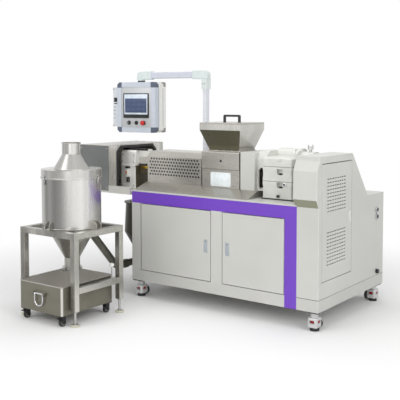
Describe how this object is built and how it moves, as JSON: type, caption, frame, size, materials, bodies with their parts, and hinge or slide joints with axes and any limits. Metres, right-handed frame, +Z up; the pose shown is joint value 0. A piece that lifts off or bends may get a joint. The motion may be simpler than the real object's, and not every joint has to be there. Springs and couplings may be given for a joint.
{
  "type": "twin screw granulator",
  "caption": "Laboratory twin screw granulating line: cabinet with doors, barrel, gearbox, feed hopper, pellet cutter, cyclone station with rolling bin and operator box.",
  "frame": {"origin": "on the floor, under the middle of the whole machine's box", "axes": "+X along the front towards the drive end, +Y to the back, +Z up"},
  "size_m": [2.142, 1.902, 1.694],
  "materials": {
    "painted": "satin powder coat",
    "purple": "satin powder coat",
    "cast": "painted casting",
    "stainless": "brushed",
    "dark_sheet": "brushed",
    "bright_steel": "machined",
    "caster_grey": "die cast",
    "rubber": "matt",
    "black_plastic": "matt",
    "box_alloy": "satin",
    "screen": "gloss",
    "slate_plastic": "matt"
  },
  "bodies": {
    "machine": {"base_plinth": "painted", "left_end_panel": "painted", "back_panel": "painted", "deck_plate": "painted", "front_stiles": "painted", "motor_housing": "painted", "guard_pillar": "painted", "box_post": "painted", "purple_trim": "purple", "gearbox_lower": "cast", "gearbox_upper": "cast", "transfer_case": "cast", "lantern": "cast", "barrel_base": "stainless", "barrel_cover": "stainless", "feed_housing": "stainless", "feed_wrap": "stainless", "hopper": "stainless", "guard_hood": "stainless", "guard_port": "stainless", "cutter_bed": "stainless", "cutter_chamber": "stainless", "die_head": "stainless", "pellet_funnel": "stainless", "conveying_duct": "stainless", "station_legs": "stainless", "station_rails": "stainless", "station_feet": "stainless", "cyclone_shell": "stainless", "cyclone_cone": "stainless", "outlet_clamp": "stainless", "cyclone_lid": "stainless", "cyclone_lugs": "stainless", "guard_front": "dark_sheet", "screw_shafts": "bright_steel", "hinge_pins": "bright_steel", "barrel": "bright_steel", "gearbox_fittings": "bright_steel", "levelling_casters": "caster_grey", "caster_pads": "rubber", "side_sockets": "black_plastic", "hood_latch": "black_plastic"},
    "left_door": {"left_door": "painted"},
    "right_door": {"right_door": "painted"},
    "service_panel": {"service_panel": "painted"},
    "lid": {"hopper_lid": "stainless", "lid_handle": "black_plastic"},
    "arm": {"swing_arm": "painted"},
    "operator_box": {"control_box": "box_alloy", "box_corners": "slate_plastic", "screen_bezel": "screen", "panel_controls": "black_plastic", "wing_panel": "box_alloy"},
    "bin": {"bin_tub": "stainless", "bin_forks": "bright_steel"},
    "bail": {"bin_bail": "bright_steel"},
    "wheel_left_front": {"bin_wheel_left_front": "rubber"},
    "wheel_left_back": {"bin_wheel_left_back": "rubber"},
    "wheel_right_front": {"bin_wheel_right_front": "rubber"},
    "wheel_right_back": {"bin_wheel_right_back": "rubber"}
  },
  "joints": [
    {"name": "left_door_hinge", "type": "hinge", "parent": "machine", "child": "left_door", "pos_m": [-0.40305, -0.041, 0.455], "axis": [0, 0, -1], "range_deg": [0, 60]},
    {"name": "right_door_hinge", "type": "hinge", "parent": "machine", "child": "right_door", "pos_m": [0.79295, -0.041, 0.455], "axis": [0, 0, 1], "range_deg": [0, 100]},
    {"name": "service_panel_hinge", "type": "hinge", "parent": "machine", "child": "service_panel", "pos_m": [1.04295, 0.003, 0.686], "axis": [0, 0, -1], "range_deg": [0, 100]},
    {"name": "lid_lift", "type": "slide", "parent": "machine", "child": "lid", "axis": [0, 0, 1], "range_m": [0, 0.2]},
    {"name": "arm_swing", "type": "hinge", "parent": "machine", "child": "arm", "pos_m": [-0.25405, 0.551, 1.634], "axis": [0, 0, 1], "range_deg": [-80, 70]},
    {"name": "box_swivel", "type": "hinge", "parent": "arm", "child": "operator_box", "pos_m": [-0.84449, 0.46276, 1.606], "axis": [0, 0, 1], "range_deg": [-90, 90]},
    {"name": "bin_roll", "type": "slide", "parent": "machine", "child": "bin", "axis": [0, -1, 0], "range_m": [0, 0.6]},
    {"name": "bail_lift", "type": "hinge", "parent": "bin", "child": "bail", "pos_m": [-0.52005, -0.942, 0.196], "axis": [-1, 0, 0], "range_deg": [0, 90]},
    {"name": "wheel_left_front_spin", "type": "hinge", "parent": "bin", "child": "wheel_left_front", "pos_m": [-0.69005, -0.895, 0.025], "axis": [1, 0, 0], "continuous": true},
    {"name": "wheel_left_back_spin", "type": "hinge", "parent": "bin", "child": "wheel_left_back", "pos_m": [-0.69005, -0.488, 0.025], "axis": [1, 0, 0], "continuous": true},
    {"name": "wheel_right_front_spin", "type": "hinge", "parent": "bin", "child": "wheel_right_front", "pos_m": [-0.35005, -0.895, 0.025], "axis": [1, 0, 0], "continuous": true},
    {"name": "wheel_right_back_spin", "type": "hinge", "parent": "bin", "child": "wheel_right_back", "pos_m": [-0.35005, -0.488, 0.025], "axis": [1, 0, 0], "continuous": true}
  ],
  "couplings": [
    {"joint": "wheel_left_front_spin", "follows": "bin_roll", "rad_per_m": 40},
    {"joint": "wheel_left_back_spin", "follows": "bin_roll", "rad_per_m": 40},
    {"joint": "wheel_right_front_spin", "follows": "bin_roll", "rad_per_m": 40},
    {"joint": "wheel_right_back_spin", "follows": "bin_roll", "rad_per_m": 40}
  ]
}
